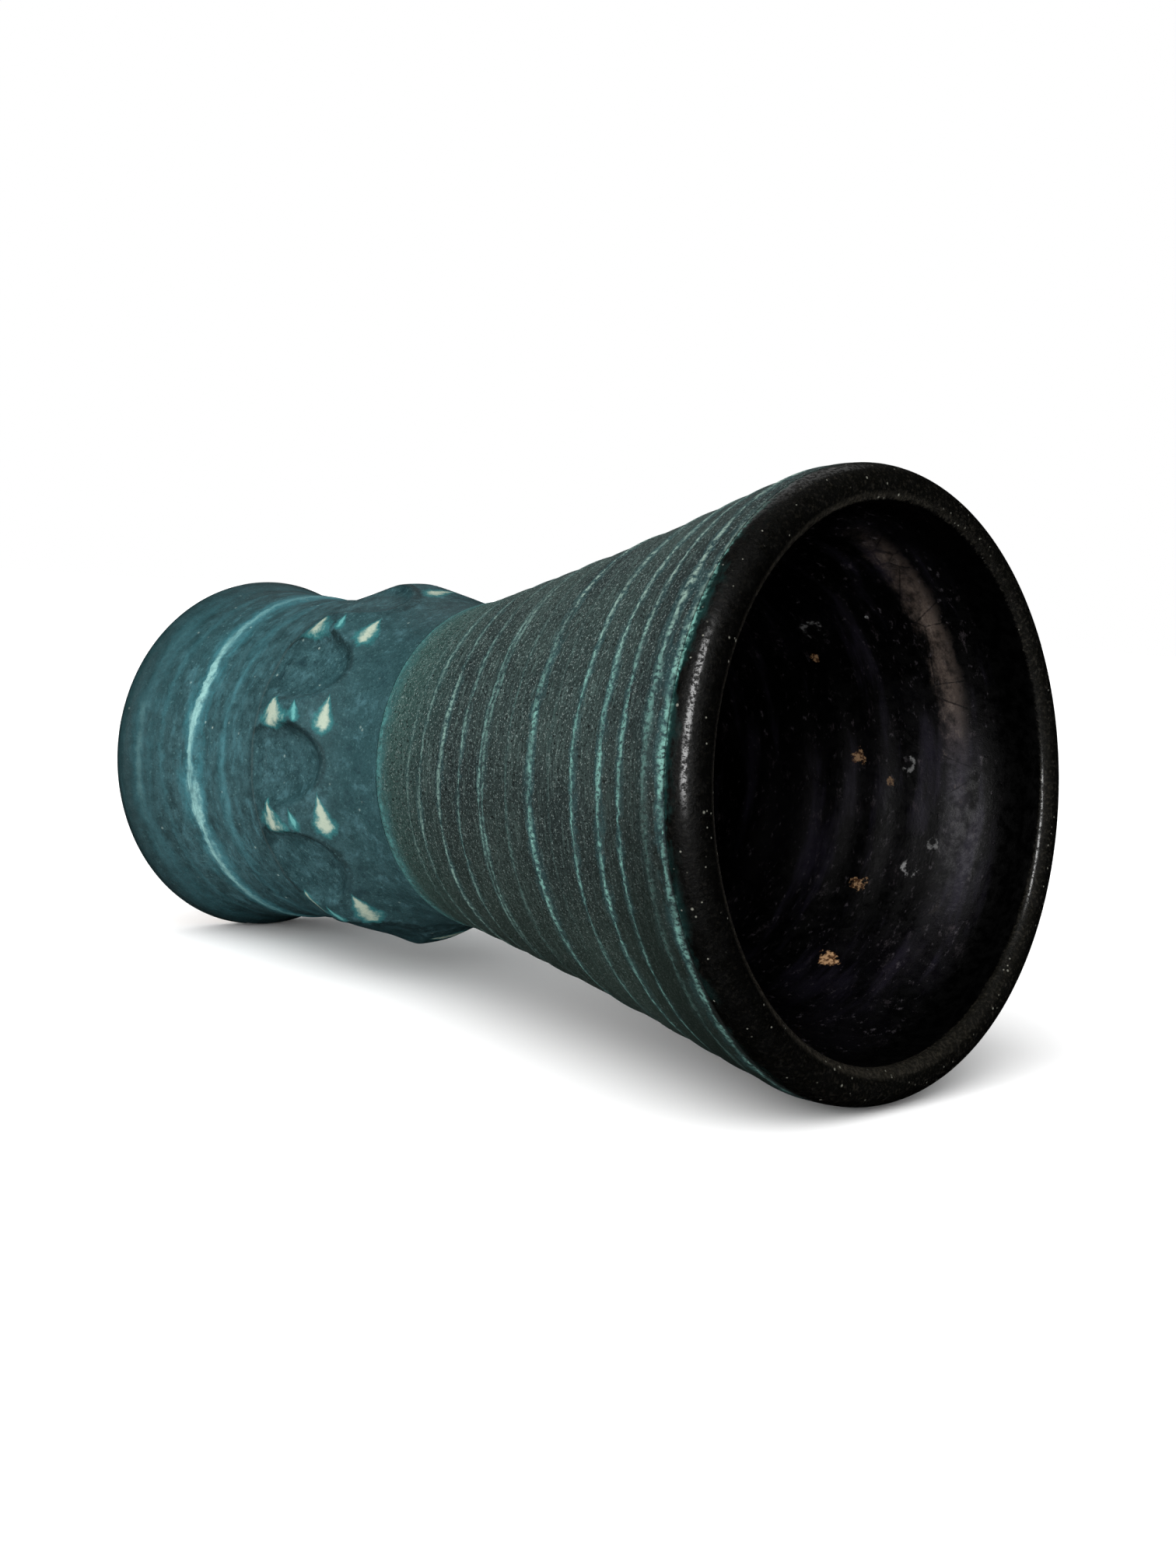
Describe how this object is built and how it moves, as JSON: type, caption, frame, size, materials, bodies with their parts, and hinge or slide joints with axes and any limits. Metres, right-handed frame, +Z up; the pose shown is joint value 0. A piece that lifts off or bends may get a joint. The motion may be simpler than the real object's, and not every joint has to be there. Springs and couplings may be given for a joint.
{
  "type": "ceramic vase",
  "caption": "Trumpet-mouthed ceramic vase on a flared foot, with a dimpled belt over the luted joint and a black glaze lining that holds water.",
  "frame": {"origin": "centre of the foot ring's underside, where the vase stands", "axes": "+Z up the axis from foot to mouth; +X through the middle of one dimple of the belt"},
  "size_m": [0.1204, 0.1204, 0.2006],
  "materials": {
    "teal_glaze": "satin teal glaze that breaks to pale aqua on the throwing ridges",
    "belt_glaze": "smooth satin teal glaze that breaks to cream on the ridges between the dimples",
    "matt_black_glaze": "matt, finely pitted black-green glaze with broken aqua bands",
    "lining": "gloss black glaze",
    "slip": "bare fired clay slip"
  },
  "bodies": {
    "root": {"foot_section": "teal_glaze", "collar_belt": "belt_glaze", "trumpet_section": "matt_black_glaze", "lining_glaze": "lining", "joint_slip": "slip"}
  },
  "joints": []
}
